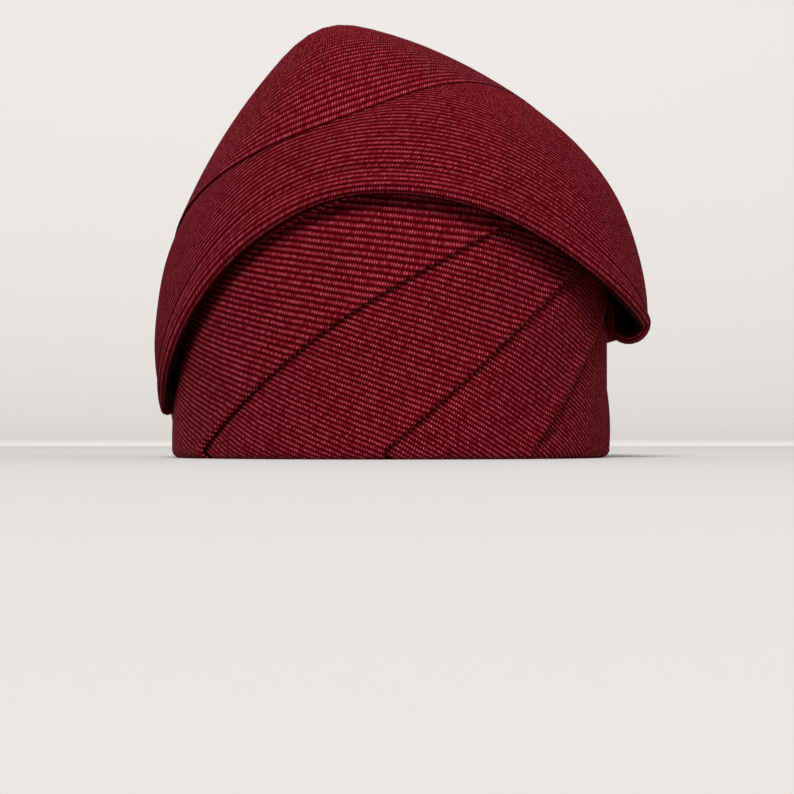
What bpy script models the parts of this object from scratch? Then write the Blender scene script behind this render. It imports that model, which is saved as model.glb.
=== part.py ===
"""A draped, pleated toque of ribbed cloth: eight band pleats and a two-piece crown drape.

Metres, +Z up. The hat rests on its hem at z = 0, and its front faces -Y.
Angles round the head are in degrees from the front, positive towards +X.
"""

import bmesh
import bpy
import numpy as np

# Cloth
CLOTH = 0.0012          # thickness of one ply
GAP = 0.0005            # air between plies that lie on each other
STEP = CLOTH + GAP      # how far a fold stands above the cloth beneath it

# Where the head opening's middle lies, so that the whole hat is centred on the origin
HEAD_CENTRE = (-0.0046, -0.0032, 0.0)

# Side band, over its pleats
BAND_HALF_WIDTH = 0.0875
BAND_HALF_DEPTH = 0.1035
HEM_RADIUS = 0.0032     # the hem turns under round this radius
HEM_FLAT = 0.0016       # flat underside of the hem
TURNED_IN = 0.0150      # height of the ply turned up inside
LEAN_FROM = 0.045       # above this height the band leans in
LEAN_SPAN = 0.070
LEAN_SHARE = 0.08       # share of its width that it loses over the span
RIM_SIDE = 0.077        # height of the band's hidden top edge at the sides
RIM_FRONT_RISE = 0.031
RIM_BACK_RISE = 0.005
TUCK = 0.009            # width of each pleat hidden under the one before it
RAMP_SHARE = 0.30       # share of a pleat's width over which it rises from under the last fold


def table(columns, *rows):
    """Named columns from rows of numbers."""
    return {name: np.array(column, float) for name, column in zip(columns.split(), zip(*rows))}


# The folded edge of each band pleat: the angle of its foot, how many degrees it leans
# for each metre of height, and the bend that flattens it above a height.
SEAMS = table(
    "foot lean bend_from bend",
    (-55.9, 869.0, 0.035, 4700.0),
    (-1.2, 755.0, 0.040, 4000.0),
    (38.5, 620.0, 0.032, 8000.0),
    (83.0, 620.0, 0.035, 8000.0),
    (128.0, 620.0, 0.040, 8000.0),
    (172.0, 640.0, 0.045, 9000.0),
    (216.0, 700.0, 0.050, 10000.0),
    (259.0, 800.0, 0.060, 14000.0),
)

SQUARENESS = 2.2        # exponent of the crown's ovals, 2 for an ellipse

# Level sections through the crown: how far it reaches from the head's middle each way,
# and where each section's own middle lies.
CROWN = table(
    "height left right front back middle_x middle_y",
    (0.0100, 0.0890, 0.1015, 0.1050, 0.1085, 0.0000, 0.0),
    (0.0250, 0.0918, 0.1025, 0.1060, 0.1105, 0.0000, 0.0),
    (0.0320, 0.0934, 0.1028, 0.1064, 0.1114, 0.0000, 0.0),
    (0.0420, 0.0943, 0.1032, 0.1068, 0.1125, 0.0000, 0.0),
    (0.0620, 0.0930, 0.1035, 0.1072, 0.1130, 0.0000, 0.0),
    (0.0850, 0.0880, 0.0990, 0.1072, 0.1110, 0.0000, 0.0),
    (0.1050, 0.0795, 0.0908, 0.1066, 0.1030, -0.0010, 0.0),
    (0.1220, 0.0705, 0.0783, 0.1035, 0.0920, -0.0040, 0.0),
    (0.1380, 0.0602, 0.0605, 0.0950, 0.0780, -0.0080, 0.0),
    (0.1520, 0.0495, 0.0392, 0.0800, 0.0610, -0.0130, 0.0),
    (0.1630, 0.0398, 0.0170, 0.0600, 0.0440, -0.0170, 0.0),
    (0.1695, 0.0318, -0.0010, 0.0370, 0.0270, -0.0185, 0.0),
    (0.1735, 0.0190, -0.0190, 0.0000, 0.0000, -0.0190, 0.0),
)

# The drape's lower edge round the head: the height where it starts to turn under, and
# the radius that it turns round.
EDGE = table(
    "angle height radius",
    (-180, 0.0340, 0.0037),
    (-135, 0.0285, 0.0032),
    (-115, 0.0235, 0.0025),
    (-97, 0.0195, 0.0014),
    (-85, 0.0200, 0.0014),
    (0, 0.045, 0.0050),
    (80, 0.054, 0.0075),
    (100, 0.056, 0.0075),
    (135, 0.049, 0.0055),
    (180, 0.0340, 0.0037),
)

# Arches of the drape's cloth, from its front edge over the crown to the back of its
# lower edge: the angles round the head of both feet, and how far back from level the
# arch leans at five places from its left foot to its right one.
ARCHES = table(
    "share left_foot right_foot lean_0 lean_1 lean_2 lean_3 lean_4",
    (0.00, -86, 80, 10, 31, 35.5, 31, 8),
    (0.15, -115, 130, 145, 62, 34, 49, 90),
    (0.32, -124, 138, 115, 72, 62, 70, 90),
    (0.48, -142, 152, 100, 92, 90, 90, 95),
    (1.00, -180, 180, 105, 105, 105, 105, 105),
)
LEAN_PLACES = np.array([0.0, 0.22, 0.42, 0.64, 1.0])
PLEAT_SHARE = 0.15      # the arch along which the peak's folded edge lies on the sweep
SWEEP_TUCK = 0.030      # share of the arches that the sweep reaches under the peak
SWEEP_DIP = 0.055       # share over which the sweep sinks under the peak's fold
LAST_ARCH = 0.985       # beyond it the cloth closes to a point on the lower edge

# The roll of the drape's front edge: its radius, and how far it turns under.
FRONT_ROLL = table(
    "share radius turn",
    (-0.30, 0.0016, 30),
    (0.00, 0.0016, 30),
    (0.10, 0.0018, 180),
    (0.22, 0.0026, 180),
    (0.45, 0.0030, 180),
    (0.90, 0.0024, 180),
    (1.30, 0.0024, 180),
)
FRONT_PLY = 0.006       # width of the ply behind the front roll
EDGE_PLY = 0.010        # height of the ply turned up inside the lower edge

# Facets
UP_COUNT = 13           # facets from the hem to the band's top edge
HEM_COUNT = 3           # facets on each quarter of the hem's turn
ARCH_COUNT = 30         # facets along an arch
TURN_COUNT = 5          # facets round a roll
PEAK_COUNT = 14         # arches over the peak and down the back
PLEAT_COLUMNS = (0.12, 0.30, 0.48, 0.66, 0.84)  # shares of a pleat's width with a column
FRONT_SHARES = (0.0, 0.02, 0.05)                # arches close behind the front edge
PEAK_FROM = 0.23        # first arch behind the peak's fold
BEFORE_LEFT = -0.3      # place along an arch that stands for its left foot's roll
AFTER_RIGHT = 1.3       # and for its right foot's
HALVINGS = 40           # steps of each search by halving
FARTHEST = 0.30         # longest way that a search looks along

COLOUR_BAND = (0.130, 0.008, 0.014, 1.0)
COLOUR_SWEEP = (0.150, 0.010, 0.017, 1.0)
COLOUR_PEAK = (0.160, 0.010, 0.018, 1.0)
ROUGHNESS = 0.85


def clear_scene():
    """Removes every object that the file opened with."""
    for item in list(bpy.data.objects):
        bpy.data.objects.remove(item, do_unlink=True)


def cloth_material(name, colour):
    """Matt cloth of one colour."""
    material = bpy.data.materials.new(name)
    material.use_nodes = True
    shader = material.node_tree.nodes["Principled BSDF"]
    shader.inputs["Base Color"].default_value = colour
    shader.inputs["Roughness"].default_value = ROUGHNESS
    shader.inputs["Metallic"].default_value = 0.0
    material.diffuse_color = colour
    return material


def smooth(places, knots, values):
    """A soft curve through the knots, whose slope at each knot comes from its neighbours."""
    places = np.clip(places, knots[0], knots[-1])
    slopes = np.gradient(values, knots, axis=0)
    row = np.clip(np.searchsorted(knots, places, side="right") - 1, 0, len(knots) - 2)
    width = knots[row + 1] - knots[row]
    t = (places - knots[row]) / width
    start = (2 * t**3 - 3 * t**2 + 1) * values[row] + (t**3 - 2 * t**2 + t) * width * slopes[row]
    end = (3 * t**2 - 2 * t**3) * values[row + 1] + (t**3 - t**2) * width * slopes[row + 1]
    return start + end


def ease(t):
    """0 to 1 with level ends."""
    t = np.clip(t, 0.0, 1.0)
    return t * t * (3 - 2 * t)


def add_sheet(name, points, material, collection):
    """A grid of points as cloth: an open surface whose Solidify gives it one ply's thickness."""
    rows, columns = points.shape[:2]
    index = np.arange(rows * columns).reshape(rows, columns)
    quads = np.stack([index[:-1, :-1], index[:-1, 1:], index[1:, 1:], index[1:, :-1]], -1)
    mesh = bpy.data.meshes.new(name)
    mesh.from_pydata(points.reshape(-1, 3).tolist(), [], quads.reshape(-1, 4).tolist())
    sheet = bmesh.new()
    sheet.from_mesh(mesh)
    bmesh.ops.remove_doubles(sheet, verts=sheet.verts, dist=1e-5)
    bmesh.ops.dissolve_degenerate(sheet, edges=sheet.edges, dist=1e-6)
    sheet.to_mesh(mesh)
    sheet.free()
    mesh.materials.append(material)
    mesh.shade_smooth()
    piece = bpy.data.objects.new(name, mesh)
    piece.location = HEAD_CENTRE
    collection.objects.link(piece)
    ply = piece.modifiers.new("ply", "SOLIDIFY")
    ply.thickness = CLOTH
    ply.offset = -1.0
    return piece


def seam_angle(seam, height):
    """Angle round the head of a band pleat's folded edge; it runs straight in below the hem."""
    row = {name: column[seam % len(column)] for name, column in SEAMS.items()}
    height = np.maximum(height, 0.0)
    bend = np.maximum(height - row["bend_from"], 0.0)
    turns = 360.0 * (seam // len(SEAMS["foot"]))
    return row["foot"] + turns + row["lean"] * height + row["bend"] * bend**2


def band_rim(angle):
    """Height of the band's hidden top edge, highest at the front."""
    forward = np.cos(np.radians(angle))
    rise = np.where(forward > 0, RIM_FRONT_RISE, RIM_BACK_RISE)
    return RIM_SIDE + rise * forward**2


def band_profile(way, rise):
    """(inset, height) on the band's face: way is the distance above the hem's turn, and
    negative round it; rise is the height of the face above the lowest ply."""
    sunk = STEP - rise
    radius = HEM_RADIUS - sunk
    quarter = HEM_RADIUS * np.pi / 2
    turn = np.clip(-way / HEM_RADIUS, 0.0, np.pi / 2)
    flat = np.clip(-way - quarter, 0.0, HEM_FLAT)
    back = np.clip((-way - quarter - HEM_FLAT) / HEM_RADIUS, 0.0, np.pi / 2)
    inner = np.clip(-way - 2 * quarter - HEM_FLAT, 0.0, None)
    inset = HEM_RADIUS - radius * np.cos(turn) + flat + radius * np.sin(back)
    height = HEM_RADIUS + np.maximum(way, 0.0) - radius * np.sin(turn) + radius * (1 - np.cos(back)) + inner
    return inset, height


def band_point(angle, way, rise):
    """Points on the band's face: an oval that leans in towards its top."""
    inset, height = band_profile(way, rise)
    share = 1 - LEAN_SHARE * (np.maximum(height - LEAN_FROM, 0.0) / LEAN_SPAN) ** 2
    turn = np.radians(angle)
    x = (BAND_HALF_WIDTH - inset) * share * np.sin(turn)
    y = -(BAND_HALF_DEPTH - inset) * share * np.cos(turn)
    return np.stack([x, y, height], -1)


def hem_ways():
    """Distances along the profile from the turned-in ply's top to the start of the wall."""
    quarter = HEM_RADIUS * np.pi / 2
    turns = np.linspace(0.0, 1.0, HEM_COUNT + 1)
    inner = -2 * quarter - HEM_FLAT - TURNED_IN
    second = -2 * quarter - HEM_FLAT + quarter * turns
    first = -quarter + quarter * turns
    return np.concatenate([[inner], second, first])


def rim_way(angle_at):
    """Where a line up the band meets its top edge, found by halving."""
    low, high = np.zeros(1), np.full(1, FARTHEST)
    for _ in range(HALVINGS):
        middle = (low + high) / 2
        below = middle + HEM_RADIUS < band_rim(angle_at(middle))
        low, high = np.where(below, middle, low), np.where(below, high, middle)
    return float(low[0])


def add_band_pleat(number, material, collection):
    """One pleat, from its tuck under the pleat before it to its own folded edge."""
    before, own = number - 1, number
    tuck = np.degrees(TUCK / ((BAND_HALF_WIDTH + BAND_HALF_DEPTH) / 2))
    shares = np.array(PLEAT_COLUMNS)
    lines = [lambda h: seam_angle(before, h) - tuck, lambda h: seam_angle(before, h)]
    for share in shares:
        lines.append(
            lambda h, s=share: seam_angle(before, h) * (1 - s) + (seam_angle(own, h) - tuck) * s
        )
    lines += [lambda h: seam_angle(own, h) - tuck, lambda h: seam_angle(own, h)]
    rises = STEP * ease(np.concatenate([[0.0, 0.0], shares, [1.0, 1.0]]) / RAMP_SHARE)
    columns = []
    for line, rise in zip(lines, rises):
        wall = np.linspace(0.0, rim_way(line), UP_COUNT + 1)[1:]
        ways = np.concatenate([hem_ways(), wall])
        columns.append(band_point(line(ways), ways, rise))
    return add_sheet(f"band_pleat_{number + 1}", np.stack(columns, 1), material, collection)


def crown_value(points):
    """Below 1 inside the crown: ovals whose four reaches vary softly with height."""
    top = CROWN["height"][-1]
    depth = -np.sqrt(np.maximum(top - points[..., 2], 0.0))
    knots = -np.sqrt(top - CROWN["height"])
    reach = {name: smooth(depth, knots, column) for name, column in CROWN.items()}
    across = points[..., 0] - reach["middle_x"]
    along = points[..., 1] - reach["middle_y"]
    width = np.where(across < 0, reach["left"] + reach["middle_x"], reach["right"] - reach["middle_x"])
    length = np.where(along < 0, reach["front"] + reach["middle_y"], reach["back"] - reach["middle_y"])
    value = np.abs(across / np.maximum(width, 1e-5)) ** SQUARENESS
    value += np.abs(along / np.maximum(length, 1e-5)) ** SQUARENESS
    return np.where(points[..., 2] >= top, 9.0, value)


def crown_hit(start, direction):
    """Where rays from inside the crown leave it, found by halving."""
    low = np.zeros(direction.shape[:-1])
    high = np.full(direction.shape[:-1], FARTHEST)
    for _ in range(HALVINGS):
        middle = (low + high) / 2
        inside = crown_value(start + direction * middle[..., None]) < 1
        low, high = np.where(inside, middle, low), np.where(inside, high, middle)
    return start + direction * low[..., None]


def crown_normal(points):
    """Outward direction of the crown, from how its value changes."""
    near = 2e-5
    change = [
        crown_value(points + near * axis) - crown_value(points - near * axis) for axis in np.eye(3)
    ]
    return unit(np.stack(change, -1))


def unit(vectors):
    """The vectors at length one."""
    return vectors / np.maximum(np.linalg.norm(vectors, axis=-1, keepdims=True), 1e-12)


def edge_point(angle):
    """Points where the drape's lower edge starts to turn under."""
    height = smooth(angle, EDGE["angle"], EDGE["height"])
    start = np.stack([0 * height, 0 * height, height], -1)
    turn = np.radians(angle)
    return crown_hit(start, np.stack([np.sin(turn), -np.cos(turn), 0 * turn], -1))


def arch_points(share, way):
    """Points along an arch of the drape: rays that fan from the middle of its two feet."""
    share, way = np.broadcast_arrays(share, way)
    row = {name: np.interp(share, ARCHES["share"], column) for name, column in ARCHES.items()}
    left, right = edge_point(row["left_foot"]), edge_point(row["right_foot"])
    across = unit(left - right)
    forward = unit(np.cross([0.0, 0.0, 1.0], across))
    up = unit(np.cross(across, forward))
    leans = np.stack([row[f"lean_{place}"] for place in range(len(LEAN_PLACES))])
    lean = np.radians(lean_along(leans, way))
    turn = np.pi * way
    rise = np.cos(lean)[..., None] * forward + np.sin(lean)[..., None] * up
    direction = np.cos(turn)[..., None] * across + np.sin(turn)[..., None] * rise
    return crown_hit((left + right) / 2, direction)


def lean_along(leans, way):
    """The arch's lean at each place along it, a soft curve through its five leans."""
    weights = [smooth(way, LEAN_PLACES, bump) for bump in np.eye(len(LEAN_PLACES))]
    return sum(weight * lean for weight, lean in zip(weights, leans))


def edge_roll(angle, sunk):
    """The lower edge's turn at each angle: rings of points round the roll, then the ply inside."""
    point = edge_point(angle)
    out = crown_normal(point)
    out[..., 2] = 0.0
    out = unit(out)
    big = smooth(angle, EDGE["angle"], EDGE["radius"])[..., None]
    centre = point - out * big
    radius = big - sunk[..., None]
    rings = []
    for turn in np.linspace(0.0, np.pi, TURN_COUNT + 1)[1:]:
        rings.append(centre + radius * (out * np.cos(turn) - np.array([0, 0, 1.0]) * np.sin(turn)))
    rings.append(rings[-1] + np.array([0, 0, EDGE_PLY]))
    return rings


def drape_rows(shares, sunk):
    """A grid over the drape, a row for each arch, with both feet rolled under."""
    way = np.linspace(0.0, 1.0, ARCH_COUNT + 1)
    shares = np.asarray(shares, float)
    real = np.minimum(shares, LAST_ARCH)
    body = arch_points(real[:, None], way[None, :])
    body = np.where((shares > LAST_ARCH)[:, None, None], edge_point(np.array([180.0])), body)
    body = body - crown_normal(body) * sunk[:, None, None]
    left = np.interp(shares, ARCHES["share"], ARCHES["left_foot"])
    right = np.interp(shares, ARCHES["share"], ARCHES["right_foot"])
    before = np.stack(edge_roll(left, sunk)[::-1], 1)
    after = np.stack(edge_roll(right, sunk), 1)
    places = np.concatenate(
        [np.full(before.shape[1], BEFORE_LEFT), way, np.full(after.shape[1], AFTER_RIGHT)]
    )
    return np.concatenate([before, body, after], 1), places


def front_roll(grid, places):
    """Rows that roll the front edge of the grid under, the innermost first."""
    front = grid[0]
    along = unit(np.gradient(front, axis=0))
    away = front - grid[1]
    away = unit(away - (away * along).sum(-1, keepdims=True) * along)
    face = unit(np.cross(away, along))
    radius = smooth(places, FRONT_ROLL["share"], FRONT_ROLL["radius"])[:, None]
    full = np.radians(np.interp(places, FRONT_ROLL["share"], FRONT_ROLL["turn"]))[:, None]
    rows = []
    for step in np.linspace(0.0, 1.0, TURN_COUNT + 1)[1:]:
        turn = full * step
        rows.append(front + away * radius * np.sin(turn) - face * radius * (1 - np.cos(turn)))
    end = away * np.cos(full) - face * np.sin(full)
    ply = FRONT_PLY * full / np.pi
    rows.append(rows[-1] + end * np.maximum(ply, 0.001))
    return np.stack(rows[::-1])


def add_sweep(material, collection):
    """The lower drape: its rolled front edge, its face, and its tuck under the peak."""
    top = PLEAT_SHARE
    dip = [top - SWEEP_DIP, top - SWEEP_DIP / 2, top]
    shares = np.concatenate([FRONT_SHARES, dip, [top + SWEEP_TUCK]])
    sunk = STEP * ease((shares - (top - SWEEP_DIP)) / SWEEP_DIP)
    grid, places = drape_rows(shares, sunk)
    grid = np.concatenate([front_roll(grid, places), grid], 0)
    return add_sheet("crown_sweep", grid, material, collection)


def add_peak(material, collection):
    """The upper drape: from its folded edge over the peak and down the back."""
    first = PLEAT_SHARE
    back = np.linspace(PEAK_FROM, LAST_ARCH, PEAK_COUNT)
    shares = np.concatenate([[first, first + SWEEP_TUCK], back, [1.0]])
    grid, _ = drape_rows(shares, 0 * shares)
    return add_sheet("crown_peak", grid, material, collection)


def main():
    clear_scene()
    hat = bpy.data.collections.new("draped_toque")
    bpy.context.scene.collection.children.link(hat)
    band = cloth_material("band_cloth", COLOUR_BAND)
    for number in range(len(SEAMS["foot"])):
        add_band_pleat(number, band, hat)
    add_sweep(cloth_material("sweep_cloth", COLOUR_SWEEP), hat)
    add_peak(cloth_material("peak_cloth", COLOUR_PEAK), hat)


if __name__ == "__main__":
    main()
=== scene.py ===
"""Looks of a draped, pleated toque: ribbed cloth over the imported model, a pale studio and a camera."""

import bpy
import numpy as np
from bpy.props import FloatProperty, FloatVectorProperty, PointerProperty
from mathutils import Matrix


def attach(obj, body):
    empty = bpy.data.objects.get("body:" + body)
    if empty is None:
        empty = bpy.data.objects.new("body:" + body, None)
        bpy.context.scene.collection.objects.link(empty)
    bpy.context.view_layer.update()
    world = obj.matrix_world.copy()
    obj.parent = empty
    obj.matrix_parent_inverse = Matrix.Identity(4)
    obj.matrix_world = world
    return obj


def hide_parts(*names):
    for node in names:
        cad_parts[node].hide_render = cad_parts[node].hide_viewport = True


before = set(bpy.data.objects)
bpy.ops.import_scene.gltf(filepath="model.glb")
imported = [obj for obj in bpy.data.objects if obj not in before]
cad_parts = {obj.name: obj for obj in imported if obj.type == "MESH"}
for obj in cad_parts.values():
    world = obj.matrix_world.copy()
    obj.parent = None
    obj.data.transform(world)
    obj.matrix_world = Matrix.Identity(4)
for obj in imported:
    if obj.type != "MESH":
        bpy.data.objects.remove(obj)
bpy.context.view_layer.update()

bl_info = {
    "name": "Draped toque",
    "version": (1, 0, 0),
    "blender": (4, 5, 0),
    "location": "3D View > Sidebar > Toque",
    "description": "Ribbed cloth pleats and drape of a soft hat, with a plain studio",
    "category": "Object",
}

# Where the middle of the hat's opening lies in the row frame
OPENING_CENTRE = np.array([-0.0046, -0.0032, 0.0])

# Cloth
CLOTH = 0.0012          # thickness of one ply
GAP = 0.0005            # air between plies that lie on each other
STEP = CLOTH + GAP      # how far a fold stands above the cloth beneath it
RIB_POWER = 2.4         # flatness of a rib's crest, 2 for a parabola
DEEPEST = 0.45          # largest share of the peak's ply that a furrow takes

# Side band, over its pleats
BAND_HALF_WIDTH = 0.0875
BAND_HALF_DEPTH = 0.1035
BAND_MEAN = (BAND_HALF_WIDTH + BAND_HALF_DEPTH) / 2
HEM_RADIUS = 0.0032     # the hem turns under round this radius
HEM_FLAT = 0.0016       # flat underside of the hem
TURNED_IN = 0.0150      # height of the ply turned up inside
LEAN_FROM = 0.045       # above this height the band leans in
LEAN_SPAN = 0.070
LEAN_SHARE = 0.08       # share of its width that it loses over the span
RIM_SIDE = 0.077        # height of the band's hidden top edge at the sides
RIM_FRONT_RISE = 0.031
RIM_BACK_RISE = 0.005
TUCK = 0.009            # width of each pleat hidden under the one before it
RAMP_SHARE = 0.30       # share of a pleat's width over which it rises from under the last fold
INNER_END = -(np.pi * HEM_RADIUS + HEM_FLAT + TURNED_IN)
MIDDLE_WAY = 0.030      # height at which a pleat's middle is measured
NARROWEST = 1.0         # least angle, in degrees, that a pleat is taken to show
NOSE_SHARE = 0.4        # largest share of a rib's line that its fold takes
GATHERED = 0.25         # how far a pleat's facets gather towards its fold


def table(columns, *rows):
    """Named columns from rows of numbers."""
    return {name: np.array(column, float) for name, column in zip(columns.split(), zip(*rows))}


# The folded edge of each band pleat: the angle of its foot, how many degrees it leans
# for each metre of height, and the bend that flattens it above a height. The last one
# lies 3 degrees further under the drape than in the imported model, so that its thick lip
# stays hidden.
SEAMS = table(
    "foot lean bend_from bend",
    (-55.9, 869.0, 0.035, 4700.0),
    (-1.2, 755.0, 0.040, 4000.0),
    (38.5, 620.0, 0.032, 8000.0),
    (83.0, 620.0, 0.035, 8000.0),
    (128.0, 620.0, 0.040, 8000.0),
    (172.0, 640.0, 0.045, 9000.0),
    (216.0, 700.0, 0.050, 10000.0),
    (256.0, 800.0, 0.060, 14000.0),
)
PLEATS = len(SEAMS["foot"])

# How steeply the ribs of each pleat fall towards its own fold, in degrees, at the hem
# and at the top.
FALL = table(
    "low high",
    (20.0, 5.0),
    (21.0, 11.0),
    (27.0, 22.0),
    (33.0, 29.0),
    (33.0, 29.0),
    (32.0, 28.0),
    (30.0, 25.0),
    (26.0, 19.0),
)
FALL_SPAN = 0.100       # height between the two
FALL_REACH = (-0.3, 1.2)    # shares of that height between which the fall still changes

# The faint ripple of a band rib: its height, and the distances along and across the ribs
# over which it turns by one radian.
RIPPLE = table(
    "height along across",
    (0.00008, 0.0067, 0.011),
    (0.00006, 0.0021, -0.005),
)

# The ribs that are tried on each pleat, by their level at its middle
LOWEST_RIB = -0.09
HIGHEST_RIB = 0.24
WIDEST_WAY = 0.115      # height at which the ribs' lines are tried furthest round
RIB_SAMPLES = 320       # places tried along each line
SHALLOWEST = 0.0008     # a rib that gets less far inside the pleat's cut is left out

SQUARENESS = 2.2        # exponent of the crown's ovals, 2 for an ellipse
OUTSIDE = 9.0           # stands for any place above the crown
FARTHEST = 0.30         # longer than any line from inside the crown to its face
PROBE = 2e-5            # distance over which the crown's slope is measured
NO_REACH = 1e-5         # least reach of a section, where the crown comes to its top

# Level sections through the crown: how far it reaches each way from the middle of the
# hat's opening, and where each section's own middle lies.
CROWN = table(
    "height left right front back middle_x middle_y",
    (0.0100, 0.0890, 0.1015, 0.1050, 0.1085, 0.0000, 0.0),
    (0.0250, 0.0918, 0.1025, 0.1060, 0.1105, 0.0000, 0.0),
    (0.0320, 0.0934, 0.1028, 0.1064, 0.1114, 0.0000, 0.0),
    (0.0420, 0.0943, 0.1032, 0.1068, 0.1125, 0.0000, 0.0),
    (0.0620, 0.0930, 0.1035, 0.1072, 0.1130, 0.0000, 0.0),
    (0.0850, 0.0880, 0.0990, 0.1072, 0.1110, 0.0000, 0.0),
    (0.1050, 0.0795, 0.0908, 0.1066, 0.1030, -0.0010, 0.0),
    (0.1220, 0.0705, 0.0783, 0.1035, 0.0920, -0.0040, 0.0),
    (0.1380, 0.0602, 0.0605, 0.0950, 0.0780, -0.0080, 0.0),
    (0.1520, 0.0495, 0.0392, 0.0800, 0.0610, -0.0130, 0.0),
    (0.1630, 0.0398, 0.0170, 0.0600, 0.0440, -0.0170, 0.0),
    (0.1695, 0.0318, -0.0010, 0.0370, 0.0270, -0.0185, 0.0),
    (0.1735, 0.0190, -0.0190, 0.0000, 0.0000, -0.0190, 0.0),
)

# The drape's lower edge round the hat: the height where it starts to turn under, and
# the radius that it turns round.
EDGE = table(
    "angle height radius",
    (-180, 0.0340, 0.0037),
    (-135, 0.0285, 0.0032),
    (-115, 0.0235, 0.0025),
    (-97, 0.0195, 0.0014),
    (-85, 0.0200, 0.0014),
    (0, 0.045, 0.0050),
    (80, 0.054, 0.0075),
    (100, 0.056, 0.0075),
    (135, 0.049, 0.0055),
    (180, 0.0340, 0.0037),
)
EDGE_PLY = 0.010        # height of the ply turned up inside the lower edge

# Arches of the drape's cloth, from its front edge over the crown to the back of its
# lower edge: the angles round the hat of both feet, and how far back from level the
# arch leans at five places from its left foot to its right one.
ARCHES = table(
    "share left_foot right_foot lean_0 lean_1 lean_2 lean_3 lean_4",
    (0.00, -86, 80, 10, 31, 35.5, 31, 8),
    (0.15, -115, 130, 145, 62, 34, 49, 90),
    (0.32, -124, 138, 115, 72, 62, 70, 90),
    (0.48, -142, 152, 100, 92, 90, 90, 95),
    (1.00, -180, 180, 105, 105, 105, 105, 105),
)
LEAN_PLACES = np.array([0.0, 0.22, 0.42, 0.64, 1.0])
PLEAT_SHARE = 0.15      # the arch along which the peak's folded edge lies on the sweep
SWEEP_TUCK = 0.030      # share of the arches that the sweep reaches under the peak
SWEEP_DIP = 0.055       # share over which the sweep sinks under the peak's fold
LAST_ARCH = 0.998       # the arches close at the back of the lower edge
MIDDLE_PLACE = 0.46     # place along the arches where the peak's ribs are evenly spaced
ARCH_SAMPLES = 160      # arches worked out to space them
UNDER_LEFT = -0.3       # places along an arch that stand for the cloth turned under
UNDER_RIGHT = 1.3       # its left foot and its right one

# The roll of the drape's front edge: its radius, and how far it turns under.
FRONT_ROLL = table(
    "place radius turn",
    (UNDER_LEFT, 0.0016, 30),
    (0.00, 0.0016, 30),
    (0.10, 0.0018, 180),
    (0.22, 0.0026, 180),
    (0.45, 0.0030, 180),
    (0.90, 0.0024, 180),
    (UNDER_RIGHT, 0.0024, 180),
)
FRONT_PLY = 0.006       # width of the ply behind the front roll
LEAST_PLY = 0.001       # its width where the roll is turned least
UNDER_SHADE_FROM = -1.0     # rib number past which the cloth rolled under is darkened with painted shade

# The swell of the drape's front edge and the crease behind it: how far back each has its
# middle, how far it reaches each way, and its height as a share of the roll's swell.
SWELL = table(
    "middle reach share",
    (0.0020, 0.0054, 1.0),
    (0.0078, 0.0018, -0.60),
)

# The peak's fold stands out less where it runs back over the crown: how much of its
# height is left at places along its arch.
FOLD_FADE = table(
    "place left",
    (UNDER_LEFT, 0.70),
    (0.25, 0.65),
    (0.48, 0.60),
    (0.56, 0.32),
    (0.64, 0.14),
    (UNDER_RIGHT, 0.14),
)
FOLD_BLEND = 0.012      # width over which the peak's ply thins towards its fold
FOLD_REACH = 0.0010     # how far the peak's fold rounds out
FOLD_TURNS = (80.0, 62.0, 42.0, 21.0)   # degrees round the fold at each of its rows
FOLD_RIBS = (-0.5, -0.1)    # the fold's rows are this many ribs from the first row's number
CREST = 0.5             # share of a rib at which its crest lies
CROWDING = (0.15, 1.2)  # least and most share of their depth that the peak's furrows keep

# Facets
BAND_ROWS = 7           # rows of facets across a rib of the band
SWEEP_ROWS = 6
PEAK_ROWS = 7
BAND_COLUMNS = 25       # facets along a rib of the band, before its fold
NOSE_COLUMNS = 6        # facets round a fold
SWEEP_COLUMNS = 128     # facets along an arch of the sweep
PEAK_COLUMNS = 80
ROLL_COLUMNS = 11       # facets round the drape's lower edge
BASE_ROWS = 150         # arches worked out across the sweep before its rows are spaced
INNER_SKIP = 4          # columns of the drape's face for each one of its inside
BAND_HALVINGS = 30      # how often a stretch is halved to find where a rib leaves its pleat,
CROWN_HALVINGS = 32     # and where a line from inside the crown leaves it

# Weave coordinates: millimetres along a rib, and the number of ribs across
UV_NAME = "weave"
MARKS = 1000.0          # coordinates to a metre of rib

# Painted light and shade on each cloth, a factor on all its colours: darker on the band and lighter on the
# peak, as light falls on them
PIECE_LIGHT = {"band_cloth": 0.92, "sweep_cloth": 1.0, "peak_cloth": 1.04}

# The weave as the material draws it, in shares of a rib or of a stitch
FURROW_WANDER = 0.34    # how far a furrow wanders to and fro
RIB_FLATNESS = 2.6
STITCH_FLATNESS = 1.6
RIB_SHIFT = 9           # stitches by which ribs are shifted against each other
FLECK_PLACE = 0.55      # where across a rib its stitches catch the light
FLECK_SMALLNESS = 3.2
FLECK_LEAST = 0.10      # strength of the faintest fleck
FLECK_CHANCE = 0.80     # how much stronger the strongest is
BETWEEN_STITCHES = 0.30     # lightness that painted shade leaves between the stitches of a rib
UNDER_SHADE_FADE = 0.8        # how fast the painted shade on the cloth rolled under darkens it, for each rib

# The finish of the cloth
CLOTH_SHEEN = {"Sheen_Weight": 0.012, "Sheen_Roughness": 0.38, "Sheen_Tint": (1.0, 0.35, 0.42, 1.0)}
CLOTH_SHINE = 0.02
CLOTH_ROUGHNESS = 0.90
WORN_SMOOTH = 0.20      # how much less rough the top of a stitch is
BUMP_HEIGHT = 0.00028   # in metres, from a furrow to a stitch
BUMP_STRENGTH = 0.9
UNEVEN = 0.3            # how much lower the lowest stitch is
FUZZ_HEIGHT = 0.2       # height of the loose fibres, as a share of a stitch's

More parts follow.
